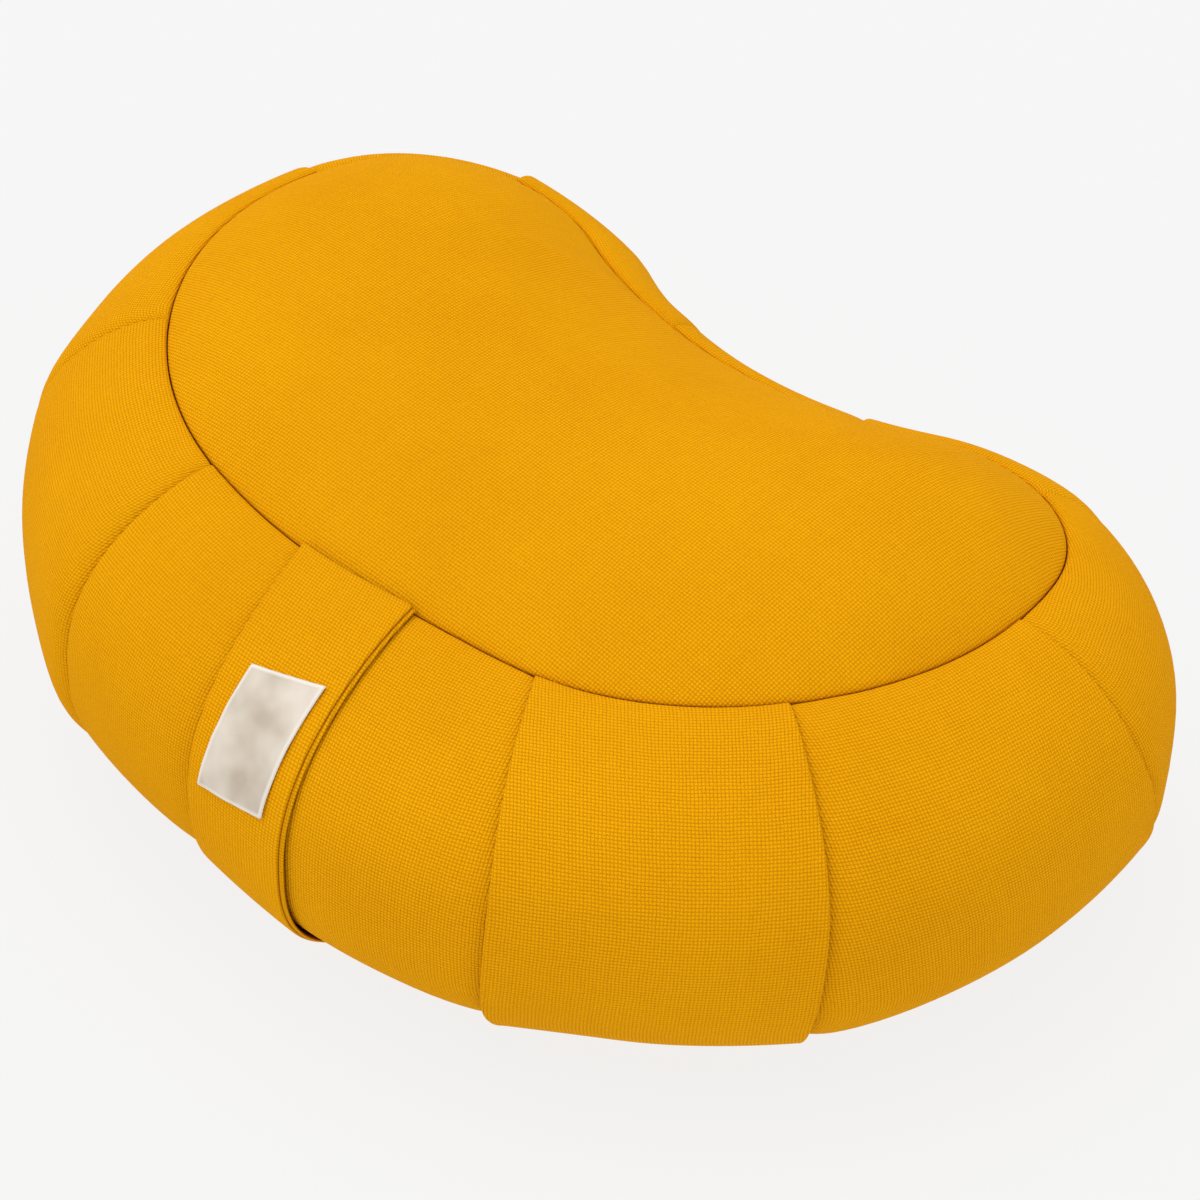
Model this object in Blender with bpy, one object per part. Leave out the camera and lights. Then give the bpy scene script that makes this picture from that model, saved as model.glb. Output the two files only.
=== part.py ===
"""Crescent meditation cushion, modelled in metres with +Z up.

The seam between the top panel and the side band is a crescent of tangent arcs. The side band bulges
out between that seam and the matching base seam, and is set in wide knife pleats. A flat carry strap
runs down the middle of the convex front and holds a small bare patch.
"""

import math
from typing import NamedTuple

import bmesh
import bpy
from mathutils import Vector
from mathutils.geometry import tessellate_polygon


class Arc(NamedTuple):
    """One arc of the seam: its radius in metres and how far it turns in degrees."""

    name: str
    radius: float
    turn: float


class Pleat(NamedTuple):
    """One knife pleat and the panel after it; all but the share and the side are in metres.

    Its fold lies at a share of the seam, is carried on by a bow and, low down, by a toe, and is so deep.
    The panels before and after it stand out at its edges, and the panel after it is puffed in its middle.
    """

    share: float
    bow: float
    toe: float
    depth: float
    before: float
    after: float
    puff: float
    on_top: str


# The seam, walked anticlockwise from the middle of the convex front, looking down.
# A last arc turns the other way round the bay and closes the half on the plane of symmetry.
SEAM_ARCS = (
    Arc("front", 0.345, 11.5),
    Arc("shoulder", 0.136, 94.5),
    Arc("tip", 0.063, 98.0),
)
SEAM_FRONT = Vector((-0.0090, -0.0916))

# The seam's height, which leans and rises to the tips where the filling has settled
SEAM_HEIGHT = 0.1350
SEAM_LEAN_X = -0.049
SEAM_LEAN_Y = -0.050
SEAM_TIP_LIFT = 0.0134
SEAM_HALF_LENGTH = 0.1775
SEAM_LIFT_SHARE = 0.3

# The carry strap draws the seam in where it is sewn
SEAM_DRAW = 0.0040
SEAM_DRAW_AT = 0.036
SEAM_DRAW_WIDTH = 0.045

# The side band's bulge between its two seams, fuller on the right and less round the bay
BULGE = 0.0477
BULGE_RIGHT = 0.0086
BULGE_BAY = -0.020
BULGE_POWER = 1.3
HEIGHT_POWER = 0.8
BAND_ROWS = 16

# Eleven pleats round the seam from the middle of the front, the last one behind the strap
PLEATS = (
    Pleat(0.0835, 0.0155, -0.0045, 0.0030, 0.0008, 0.0030, 0.0004, "after"),
    Pleat(0.1722, 0.0020, -0.0030, 0.0030, 0.0010, 0.0008, -0.0005, "before"),
    Pleat(0.2700, 0.0000, 0.0170, 0.0030, 0.0022, 0.0045, -0.0002, "before"),
    Pleat(0.3580, -0.0120, 0.0000, 0.0030, 0.0000, 0.0060, 0.0030, "before"),
    Pleat(0.4380, -0.0020, 0.0000, 0.0030, -0.0005, -0.0005, -0.0005, "before"),
    Pleat(0.5280, 0.0010, 0.0000, 0.0030, -0.0010, 0.0040, 0.0012, "before"),
    Pleat(0.6360, -0.0030, 0.0000, 0.0030, 0.0050, 0.0000, 0.0000, "before"),
    Pleat(0.7220, 0.0030, 0.0000, 0.0030, 0.0000, 0.0000, -0.0015, "after"),
    Pleat(0.8415, 0.0000, 0.0000, 0.0030, 0.0052, 0.0000, -0.0015, "after"),
    Pleat(0.9250, 0.0010, 0.0000, 0.0030, 0.0032, -0.0025, -0.0008, "after"),
    Pleat(0.9880, 0.0080, 0.0000, 0.0014, -0.0006, -0.0006, 0.0023, "after"),
)
PLEAT_GAP = 0.0010
PLEAT_REACH = 0.034
CREASE_REACH = 0.012
PLEAT_LOW_POWER = 1.45
PLEAT_SPREAD_POWER = 0.6
PLEAT_TOE_POWER = 6.0
PANEL_STEPS = 8

# The strap presses the wall in under it
PRESS = 0.0026
PRESS_AT = 0.002
PRESS_WIDTH = 0.020

# The crown of the top panel, highest along a spine that stops short of the tips
CROWN = 0.0312
CROWN_POWER = 2.0
SPINE_SHARE = 0.88
CROWN_RINGS = (0.0, 0.12, 0.28, 0.48, 0.70, 0.92)

# The base panel lies flat but for a rim that rises to the base seam
BASE_SEAM_HEIGHT = 0.0055
BASE_RINGS = (0.0, 0.12, 0.26, 0.60)
BASE_FLAT_FROM = 0.26

CLOTH = 0.0020
GAP = 0.0003
GAP_UNDER_PANELS = 0.0005
SHARP_ANGLE = 40.0

# The carry strap and its patch, placed round the seam from the middle of the front
STRAP_THICKNESS = 0.0022
STRAP_LEFT_TOP = -0.0202
STRAP_LEFT_BASE = -0.0062
STRAP_RIGHT_TOP = 0.0318
STRAP_RIGHT_BASE = 0.0356
STRAP_TURN_SHARE = 0.45
STRAP_TURN_POWER = 1.7
STRAP_CLEAR = 0.0005
STRAP_HOLD_LEFT = -0.0010
STRAP_HOLD_RIGHT = 0.0026
STRAP_TOP_ANGLE = 86.0
STRAP_BASE_ANGLE = -75.0
STRAP_ROWS = 22
STRAP_COLUMNS = 6
PATCH_THICKNESS = 0.0012
PATCH_CLEAR = 0.0006
# The patch's corners as (angle down the band, share of the strap's width), left and right, top and bottom
PATCH_CORNERS = (
    ((46.0, 0.237), (51.0, 0.849)),
    ((8.0, 0.146), (12.0, 0.797)),
)
PATCH_ROWS = 8
PATCH_COLUMNS = 4

CANVAS_COLOUR = (0.84, 0.37, 0.010)
CANVAS_ROUGHNESS = 0.9
PATCH_COLOUR = (0.66, 0.56, 0.45)
PATCH_ROUGHNESS = 0.6


def clear_scene():
    """Removes every object that is already in the scene."""
    for obj in list(bpy.data.objects):
        bpy.data.objects.remove(obj, do_unlink=True)


def new_collection(name):
    """A collection under the scene's own."""
    collection = bpy.data.collections.new(name)
    bpy.context.scene.collection.children.link(collection)
    return collection


def plain_material(name, colour, roughness):
    """A Principled material with one colour and roughness."""
    material = bpy.data.materials.new(name)
    material.use_nodes = True
    shader = material.node_tree.nodes["Principled BSDF"]
    shader.inputs["Base Color"].default_value = (*colour, 1.0)
    shader.inputs["Roughness"].default_value = roughness
    shader.inputs["Metallic"].default_value = 0.0
    return material


def arc_centre(point, heading, radius):
    """The centre of an arc that leaves a point at a heading, on its left for a positive radius."""
    return point + radius * Vector((-math.sin(heading), math.cos(heading)))


def walk(point, heading, radius, turn):
    """Goes round an arc, anticlockwise for a positive radius, and gives the new point and heading."""
    end = heading + math.copysign(turn, radius)
    centre = arc_centre(point, heading, radius)
    return centre + radius * Vector((math.sin(end), -math.cos(end))), end


def seam_half():
    """The right half of the seam as (start, heading, radius, turn), with the arc round the bay last."""
    arcs = []
    point = Vector((0.0, 0.0))
    heading = 0.0
    for arc in SEAM_ARCS:
        turn = math.radians(arc.turn)
        arcs.append((point, heading, arc.radius, turn))
        point, heading = walk(point, heading, arc.radius, turn)
    bay_turn = heading - math.pi
    arcs.append((point, heading, -point.x / math.sin(bay_turn), bay_turn))
    return arcs


HALF = seam_half()
TIP, BAY = HALF[-2:]
TIP_CENTRE = arc_centre(*TIP[:3])
HALF_LENGTH = sum(abs(radius) * turn for _start, _heading, radius, turn in HALF)
SEAM_LENGTH = 2 * HALF_LENGTH
SEAM_MIDDLE_Y = (TIP_CENTRE.y + TIP[2]) / 2


def signed(distance):
    """A distance round the seam, counted both ways from the middle of the front."""
    return (distance + HALF_LENGTH) % SEAM_LENGTH - HALF_LENGTH


def drawn_in(distance):
    """How far the strap draws the seam in, that far round from the middle of the front."""
    return SEAM_DRAW * math.exp(-(((signed(distance) - SEAM_DRAW_AT) / SEAM_DRAW_WIDTH) ** 2))


def pressed_in(distance):
    """How far the strap presses the wall in, that far round from the middle of the front."""
    return PRESS * math.exp(-(((signed(distance) - PRESS_AT) / PRESS_WIDTH) ** 2))


def seam_at(distance):
    """The seam's point and outward direction in plan, that far round from the middle of the front."""
    draw = drawn_in(distance)
    distance %= SEAM_LENGTH
    mirrored = distance > HALF_LENGTH
    left = SEAM_LENGTH - distance if mirrored else distance
    for start, heading, radius, turn in HALF:
        length = abs(radius) * turn
        if left <= length or radius < 0:
            point, facing = walk(start, heading, radius, min(left / abs(radius), turn))
            break
        left -= length
    outward = Vector((math.sin(facing), -math.cos(facing)))
    if mirrored:
        point.x = -point.x
        outward.x = -outward.x
    return point + SEAM_FRONT - draw * outward, outward


def seam_height(point):
    """The height of the top seam's surface over a point in plan."""
    across = point - SEAM_FRONT
    tips = (across.x / SEAM_HALF_LENGTH) ** 2
    lean = SEAM_LEAN_X * across.x + SEAM_LEAN_Y * (across.y - SEAM_MIDDLE_Y)
    return SEAM_HEIGHT + lean + SEAM_TIP_LIFT * (tips - SEAM_LIFT_SHARE)


def spine():
    """The centre, radius and half angle of the arc that runs along the middle of the crescent."""
    waist = walk(*BAY)[0].y / 2
    centre_y = (TIP_CENTRE.length_squared - waist**2) / (2 * (TIP_CENTRE.y - waist))
    half_angle = SPINE_SHARE * math.atan2(TIP_CENTRE.x, centre_y - TIP_CENTRE.y)
    return centre_y, centre_y - waist, half_angle


SPINE_Y, SPINE_RADIUS, SPINE_ANGLE = spine()


def spine_under(point):
    """The spine's nearest point in plan to a point on the seam."""
    across = point - SEAM_FRONT
    angle = math.atan2(across.x, SPINE_Y - across.y)
    angle = max(-SPINE_ANGLE, min(SPINE_ANGLE, angle))
    on_spine = Vector((SPINE_RADIUS * math.sin(angle), SPINE_Y - SPINE_RADIUS * math.cos(angle)))
    return on_spine + SEAM_FRONT


def crown_point(seam_point, inward, sunk):
    """A point on the top panel, from the seam (0) to the spine (1), sunk below the cloth's face."""
    middle = spine_under(seam_point)
    spot = seam_point.lerp(middle, inward)
    height = seam_height(spot) + CROWN * (1 - (1 - inward) ** CROWN_POWER) - sunk
    return spot.to_3d() + Vector((0, 0, height))


def base_point(seam_point, inward, raised):
    """A point on the base panel's face, from the base seam (0) to the spine (1), raised into it."""
    middle = spine_under(seam_point)
    rim = max(0.0, 1 - inward / BASE_FLAT_FROM) ** 2
    return seam_point.lerp(middle, inward).to_3d() + Vector((0, 0, BASE_SEAM_HEIGHT * rim + raised))


def band_point(distance, angle, lift):
    """A point on the side band at an angle of 90 at the top seam and -90 at the base seam."""
    point, outward = seam_at(distance)
    turn = math.radians(angle)
    bulge = BULGE + BULGE_RIGHT * outward.x + BULGE_BAY * outward.y + drawn_in(distance)
    out = bulge * abs(math.cos(turn)) ** BULGE_POWER + lift * pleat_strength(angle)
    rise = math.copysign(abs(math.sin(turn)) ** HEIGHT_POWER, turn)
    top = seam_height(point)
    height = BASE_SEAM_HEIGHT + (top - BASE_SEAM_HEIGHT) * (1 + rise) / 2
    return (point + out * outward).to_3d() + Vector((0, 0, height))


def lowness(angle):
    """0 at both seams to 1 in the lower third."""
    down = (90.0 - angle) / 180.0
    return max(0.0, math.sin(math.pi * down**PLEAT_LOW_POWER))


def pleat_strength(angle):
    """How far a pleat opens at this angle: shut at both seams, widest in the lower third."""
    return lowness(angle) ** PLEAT_SPREAD_POWER


def edge_lift(pleat, side, away):
    """How far a panel stands out that far from a pleat, where the lower panel is creased in."""
    edge = pleat.before if side == "before" else pleat.after
    lift = edge * max(0.0, 1 - away / PLEAT_REACH) ** 2
    if pleat.on_top != side:
        upper = pleat.before if pleat.on_top == "before" else pleat.after
        lift -= (edge - upper + pleat.depth) * max(0.0, 1 - away / CREASE_REACH) ** 2
    return lift


def band_columns():
    """The places round the seam that carry the mesh, as (distance, bow, toe, lift), panel by panel."""
    columns = []
    for index, pleat in enumerate(PLEATS):
        following = PLEATS[(index + 1) % len(PLEATS)]
        start = pleat.share * SEAM_LENGTH + PLEAT_GAP / 2
        end = following.share * SEAM_LENGTH - PLEAT_GAP / 2
        if end < start:
            end += SEAM_LENGTH
        for step in range(PANEL_STEPS + 1):
            share = (1 - math.cos(math.pi * step / PANEL_STEPS)) / 2
            distance = start + (end - start) * share
            bow = pleat.bow + (following.bow - pleat.bow) * share
            toe = pleat.toe + (following.toe - pleat.toe) * share
            lift = 4 * share * (1 - share) * pleat.puff
            lift += edge_lift(pleat, "after", distance - start)
            lift += edge_lift(following, "before", end - distance)
            columns.append((distance, bow, toe, lift))
    return columns


def column_at(column, angle):
    """Where a column lies round the seam at this angle, and how far out it stands."""
    distance, bow, toe, lift = column
    moved = distance + bow * pleat_strength(angle) + toe * lowness(angle) ** PLEAT_TOE_POWER
    return moved, lift - pressed_in(moved)


COLUMNS = band_columns()


def panel_rings(place, shares, depth, inset):
    """Rings of a panel's face, where the ring at the seam is moved in to clear the band's edge."""
    rings = []
    for inward in shares:
        ring = []
        for column in COLUMNS:
            point, outward = seam_at(column[0])
            spot = place(point, inward, depth)
            ring.append(spot - inset * outward.to_3d() if inward == 0 else spot)
        rings.append(ring)
    return rings


def fill_ring(shape, loop, in_plan):
    """Fills a ring with triangles, worked out in plan for a panel so that its layers match."""
    corners = [vert.co.xy.to_3d() if in_plan else vert.co for vert in loop]
    for triangle in tessellate_polygon([corners]):
        shape.faces.new([loop[corner] for corner in triangle])


def loft(name, rings, in_plan, material, collection):
    """A closed mesh lofted through rings of points, with its first and last ring filled."""
    mesh = bpy.data.meshes.new(name)
    shape = bmesh.new()
    loops = [[shape.verts.new(point) for point in ring] for ring in rings]
    for upper, lower in zip(loops, loops[1:]):
        for index in range(len(upper)):
            shape.faces.new((upper[index - 1], lower[index - 1], lower[index], upper[index]))
    bmesh.ops.triangulate(shape, faces=shape.faces, quad_method="SHORT_EDGE")
    fill_ring(shape, loops[0], in_plan)
    fill_ring(shape, loops[-1], in_plan)
    bmesh.ops.recalc_face_normals(shape, faces=shape.faces)
    shape.to_mesh(mesh)
    shape.free()
    mesh.materials.append(material)
    mesh.shade_smooth()
    mesh.set_sharp_from_angle(angle=math.radians(SHARP_ANGLE))
    obj = bpy.data.objects.new(name, mesh)
    collection.objects.link(obj)
    return obj


def build_body(material, collection):
    """The filled body with its pleated side band, let in for the two panels."""
    let_in = CLOTH + GAP_UNDER_PANELS
    rings = panel_rings(crown_point, reversed(CROWN_RINGS), let_in, 0.0)
    for row in range(BAND_ROWS + 1):
        angle = 90.0 - 180.0 * row / BAND_ROWS
        places = [column_at(column, angle) for column in COLUMNS]
        rings.append([band_point(distance, angle, lift) for distance, lift in places])
    rings += panel_rings(base_point, BASE_RINGS, let_in, 0.0)
    return loft("side_band", rings, True, material, collection)


def build_panel(name, place, shares, depths, material, collection):
    """A crescent panel, one cloth thick, from its face to its back."""
    face, back = depths
    rings = panel_rings(place, reversed(shares), face, GAP) + panel_rings(place, shares, back, GAP)
    return loft(name, rings, True, material, collection)


def strap_point(down, across, clear):
    """A point over the band, down the strap (0 to 1) and across it (0 left, 1 right), held clear."""
    angle = STRAP_TOP_ANGLE + (STRAP_BASE_ANGLE - STRAP_TOP_ANGLE) * down
    turned = max(0.0, 1 - down / STRAP_TURN_SHARE) ** STRAP_TURN_POWER
    left = STRAP_LEFT_BASE + (STRAP_LEFT_TOP - STRAP_LEFT_BASE) * turned
    right = STRAP_RIGHT_BASE + (STRAP_RIGHT_TOP - STRAP_RIGHT_BASE) * turned
    distance = left + (right - left) * across
    held = STRAP_HOLD_LEFT + (STRAP_HOLD_RIGHT - STRAP_HOLD_LEFT) * across
    hold = clear + held * pleat_strength(angle)
    centre = band_point(distance, angle, 0.0)
    along = band_point(distance + 0.001, angle, 0.0) - band_point(distance - 0.001, angle, 0.0)
    downward = band_point(distance, angle - 1, 0.0) - band_point(distance, angle + 1, 0.0)
    outward = downward.cross(along).normalized()
    return centre + hold * outward


def sheet_rings(rows, columns, place, clear, thickness):
    """Rings round a strip's section, row by row, for a sheet held clear of the band."""
    rings = []
    for row in range(rows + 1):
        face = [(column / columns, clear + thickness) for column in range(columns + 1)]
        back = [(column / columns, clear) for column in range(columns, -1, -1)]
        rings.append([place(row / rows, across, depth) for across, depth in face + back])
    return rings


def build_strap(material, collection):
    """The flat carry strap, sewn in at both seams and standing off a little on its right."""
    rings = sheet_rings(STRAP_ROWS, STRAP_COLUMNS, strap_point, STRAP_CLEAR, STRAP_THICKNESS)
    return loft("carry_strap", rings, False, material, collection)


def patch_point(down, across, clear):
    """A point over the strap, placed by shares of the patch's own height and width."""
    upper, lower = (Vector(left).lerp(Vector(right), across) for left, right in PATCH_CORNERS)
    angle, share = upper.lerp(lower, down)
    along = (STRAP_TOP_ANGLE - angle) / (STRAP_TOP_ANGLE - STRAP_BASE_ANGLE)
    return strap_point(along, share, clear)


def build_patch(material, collection):
    """The small bare patch on the strap."""
    clear = STRAP_CLEAR + STRAP_THICKNESS + PATCH_CLEAR
    rings = sheet_rings(PATCH_ROWS, PATCH_COLUMNS, patch_point, clear, PATCH_THICKNESS)
    return loft("strap_patch", rings, False, material, collection)


def main():
    """Builds every piece of the cushion."""
    clear_scene()
    cushion = new_collection("meditation_cushion")
    build_body(plain_material("band_canvas", CANVAS_COLOUR, CANVAS_ROUGHNESS), cushion)
    top = plain_material("top_canvas", CANVAS_COLOUR, CANVAS_ROUGHNESS)
    build_panel("top_panel", crown_point, CROWN_RINGS, (0.0, CLOTH), top, cushion)
    base = plain_material("base_canvas", CANVAS_COLOUR, CANVAS_ROUGHNESS)
    build_panel("base_panel", base_point, BASE_RINGS, (0.0, CLOTH), base, cushion)
    build_strap(plain_material("strap_canvas", CANVAS_COLOUR, CANVAS_ROUGHNESS), cushion)
    build_patch(plain_material("patch_leather", PATCH_COLOUR, PATCH_ROUGHNESS), cushion)


main()
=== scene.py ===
"""Looks of a crescent meditation cushion.

A filled body carries a canvas band set in knife pleats. A crowned top panel and a base panel close it,
and a flat carry strap with a small bare patch runs down the convex front.
"""

import logging
import math
from dataclasses import dataclass, field, replace
from enum import Enum

import bmesh
import bpy
import numpy as np
from mathutils import Matrix, Vector, noise


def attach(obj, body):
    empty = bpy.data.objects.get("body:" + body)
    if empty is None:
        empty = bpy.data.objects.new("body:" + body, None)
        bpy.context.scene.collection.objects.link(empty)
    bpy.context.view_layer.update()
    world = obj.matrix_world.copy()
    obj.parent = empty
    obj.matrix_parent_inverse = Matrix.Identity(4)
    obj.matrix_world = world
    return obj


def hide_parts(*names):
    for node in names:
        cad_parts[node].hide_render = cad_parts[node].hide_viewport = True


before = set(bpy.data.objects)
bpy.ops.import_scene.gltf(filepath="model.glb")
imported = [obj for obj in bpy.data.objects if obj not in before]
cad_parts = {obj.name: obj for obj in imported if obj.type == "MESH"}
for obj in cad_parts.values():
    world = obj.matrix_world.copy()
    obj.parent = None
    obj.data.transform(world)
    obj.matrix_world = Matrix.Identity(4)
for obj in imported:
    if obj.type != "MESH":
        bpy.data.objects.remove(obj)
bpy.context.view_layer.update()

LOG = logging.getLogger("cushion")
BODY = "root"
THREADS = "threads"
# The tuck mark weights painted shade in folds, seam grooves and hidden undersides.
CREASE_SHADE_MARK = "tuck"
RIM = "rim"


class Side(Enum):
    """Which neighbour of a knife pleat lies on top, going anticlockwise round the seam."""

    BEFORE = "before"
    AFTER = "after"


@dataclass(frozen=True)
class Arc:
    """One arc of the seam: its radius in metres and its turn in degrees."""

    name: str
    radius: float
    turn: float


@dataclass(frozen=True)
class Pleat:
    """One knife pleat and the panel after it; all but the share and the side are in metres.

    Its fold lies at a share of the seam, is carried on by a bow and, low down, by a toe, and is so deep.
    The panels before and after it stand out at its edges, and the panel after it is puffed in its middle.
    """

    share: float
    bow: float
    toe: float
    depth: float
    before: float
    after: float
    puff: float
    on_top: Side


@dataclass(frozen=True)
class Leg:
    """One arc of the seam where it lies, walked from its start at a heading."""

    start: np.ndarray
    heading: float
    radius: float
    turn: float

    @property
    def length(self) -> float:
        """The arc's length in metres."""
        return abs(self.radius) * self.turn

    @property
    def centre(self) -> np.ndarray:
        """The arc's centre, which lies on its left for a positive radius."""
        return self.start + self.radius * np.array((-math.sin(self.heading), math.cos(self.heading)))

    def at(self, travelled: np.ndarray) -> tuple[np.ndarray, np.ndarray]:
        """Walks along the arc.

        Args:
            travelled: distances from the arc's start, in metres.

        Returns:
            The points in plan and the outward directions there.
        """
        facing = self.heading + travelled / self.radius
        outward = np.stack((np.sin(facing), -np.cos(facing)), axis=-1)
        return self.centre + self.radius * outward, outward


@dataclass
class CrescentSeam:
    """The seam between a panel and the band: tangent arcs in plan, mirrored about the middle."""

    arcs: tuple[Arc, ...] = (
        Arc("front", 0.345, 11.5),
        Arc("shoulder", 0.136, 94.5),
        Arc("tip", 0.063, 98.0),
    )
    front: tuple[float, float] = (-0.0090, -0.0916)
    height: float = 0.1350
    lean_x: float = -0.049
    lean_y: float = -0.050
    tip_lift: float = 0.0134
    half_length: float = 0.1775
    lift_share: float = 0.3
    spine_share: float = 0.88
    draw: float = 0.0040
    draw_at: float = 0.036
    draw_width: float = 0.045
    legs: list[Leg] = field(default_factory=list)

    def __post_init__(self) -> None:
        """Lays the arcs end to end and closes the half with the arc round the bay."""
        point = np.zeros(2)
        heading = 0.0
        for arc in self.arcs:
            leg = Leg(point, heading, arc.radius, math.radians(arc.turn))
            self.legs.append(leg)
            point = leg.at(np.array(leg.length))[0]
            heading += leg.turn
        bay_turn = heading - math.pi
        self.legs.append(Leg(point, heading, -point[0] / math.sin(bay_turn), bay_turn))

    @property
    def half(self) -> float:
        """The length of the right half in metres."""
        return sum(leg.length for leg in self.legs)

    @property
    def length(self) -> float:
        """The length all round in metres."""
        return 2 * self.half

    @property
    def tip_centre(self) -> np.ndarray:
        """The centre of the right tip's arc, from the middle of the front."""
        return self.legs[-2].centre

    @property
    def middle_y(self) -> float:
        """How far the middle of the crescent's depth lies behind its front."""
        return (self.tip_centre[1] + self.legs[-2].radius) / 2

    def at(self, distance: np.ndarray) -> tuple[np.ndarray, np.ndarray]:
        """Finds places on the seam.

        Args:
            distance: distances anticlockwise from the middle of the front, in metres.

        Returns:
            The points in plan and the outward directions there.
        """
        wrapped = np.mod(distance, self.length)
        mirrored = wrapped > self.half
        along = np.where(mirrored, self.length - wrapped, wrapped)
        points = np.zeros((*along.shape, 2))
        outward = np.zeros((*along.shape, 2))
        begun = 0.0
        for leg in self.legs:
            on_leg = (along >= begun) & (along <= begun + leg.length + 1e-9)
            points[on_leg], outward[on_leg] = leg.at(along[on_leg] - begun)
            begun += leg.length
        side = np.where(mirrored, -1.0, 1.0)
        points[..., 0] *= side
        outward[..., 0] *= side
        return points + np.array(self.front) - self.drawn_in(distance)[..., None] * outward, outward

    def drawn_in(self, distance: np.ndarray) -> np.ndarray:
        """How far the strap draws the seam in, at distances anticlockwise from the middle of the front."""
        half = self.half
        signed = np.mod(distance + half, self.length) - half
        return self.draw * np.exp(-(((signed - self.draw_at) / self.draw_width) ** 2))

    def height_at(self, plan: np.ndarray) -> np.ndarray:
        """The height of the top seam's surface over points in plan."""
        across = plan - np.array(self.front)
        tips = (across[..., 0] / self.half_length) ** 2
        lean = self.lean_x * across[..., 0] + self.lean_y * (across[..., 1] - self.middle_y)
        return self.height + lean + self.tip_lift * (tips - self.lift_share)

    @property
    def spine(self) -> tuple[float, float, float]:
        """The centre's y, the radius and the half angle of the arc along the middle of the crescent."""
        waist = self.legs[-1].at(np.array(self.legs[-1].length))[0][1] / 2
        tip = self.tip_centre
        centre_y = (tip @ tip - waist**2) / (2 * (tip[1] - waist))
        return centre_y, centre_y - waist, self.spine_share * math.atan2(tip[0], centre_y - tip[1])

    def spine_angle(self, plan: np.ndarray) -> np.ndarray:
        """The directions of points in plan from the centre of the spine's arc."""
        across = plan - np.array(self.front)
        return np.arctan2(across[..., 0], self.spine[0] - across[..., 1])

    def spine_under(self, plan: np.ndarray) -> np.ndarray:
        """The nearest points in plan on the arc along the middle of the crescent."""
        centre_y, radius, limit = self.spine
        angle = np.clip(self.spine_angle(plan), -limit, limit)
        on_spine = np.stack((radius * np.sin(angle), centre_y - radius * np.cos(angle)), axis=-1)
        return on_spine + np.array(self.front)

    def facing_pairs(self, pair_count: int, tip_count: int) -> np.ndarray:
        """Places round the seam that face each other across the spine.

        Args:
            pair_count: the pairs along each half of the spine.
            tip_count: the places round each tip, past the end of the spine.

        Returns:
            Their distances anticlockwise from the middle of the front, the first one repeated at the end.
        """
        fine = np.linspace(0.0, self.length, 8001)
        angle = self.spine_angle(self.at(fine)[0])
        wanted = np.linspace(0.0, self.spine[2], pair_count + 1)
        right = int(np.argmax(angle))
        left = int(np.argmin(angle))
        middle = len(fine) // 2
        front_right = np.interp(wanted, angle[:right], fine[:right])
        back_right = np.interp(wanted, angle[right:middle + 1][::-1], fine[right:middle + 1][::-1])
        back_left = np.interp(wanted, -angle[middle:left], fine[middle:left])
        front_left = np.interp(wanted, -angle[left:][::-1], fine[left:][::-1])
        stretches = [front_right]
        stretches.append(np.linspace(front_right[-1], back_right[-1], tip_count + 2)[1:-1])
        stretches.append(back_right[::-1])
        stretches.append(back_left[1:])
        stretches.append(np.linspace(back_left[-1], front_left[-1], tip_count + 2)[1:-1])
        stretches.append(front_left[::-1])
        return np.concatenate(stretches)


@dataclass(frozen=True)
class SeamRoll:
    """How cloth rolls down into a seam: rows as (distance from the seam, how far sunk), in metres."""

    rows: tuple[tuple[float, float], ...] = (
        (0.00010, 0.0034),
        (0.00014, 0.0022),
        (0.00022, 0.0013),
        (0.00042, 0.00075),
        (0.00080, 0.00038),
        (0.00135, 0.00016),
        (0.00210, 0.00005),
        (0.00320, 0.0),
    )
    dip: float = 0.0009
    dip_width: float = 0.0045
    pucker: float = 0.00022
    pucker_width: float = 0.007
    pucker_scale: float = 105.0

    @property
    def away(self) -> np.ndarray:
        """The rows' distances from the seam."""
        return np.array([away for away, _sunk in self.rows])

    def sunk(self, away: np.ndarray, distance: np.ndarray, seed: float) -> np.ndarray:
        """How far cloth lies below its smooth surface near the seam.

        Args:
            away: distances from the seam across the cloth, in metres.
            distance: distances round the seam, in metres.
            seed: picks the pattern of puckers.

        Returns:
            The depths in metres.
        """
        table = np.array(self.rows)
        rolled = np.interp(away, table[:, 0], table[:, 1])
        dipped = self.dip * np.exp(-away / self.dip_width)
        spots = [noise.noise(Vector((at * self.pucker_scale, seed, 0.0))) for at in distance.flat]
        wave = np.reshape(spots, distance.shape)
        return rolled + dipped + self.pucker * wave * np.exp(-away / self.pucker_width)


def lumps(points: np.ndarray, scale: float, seed: float) -> np.ndarray:
    """Soft unevenness of a loose filling.

    Args:
        points: where, in metres.
        scale: lumps to the metre.
        seed: picks the pattern.

    Returns:
        A value from about -1 to 1 for each point.
    """
    flat = points.reshape(-1, 3) * scale
    values = [noise.noise(Vector((x + seed, y, z))) for x, y, z in flat]
    return np.reshape(values, points.shape[:-1])


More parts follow.
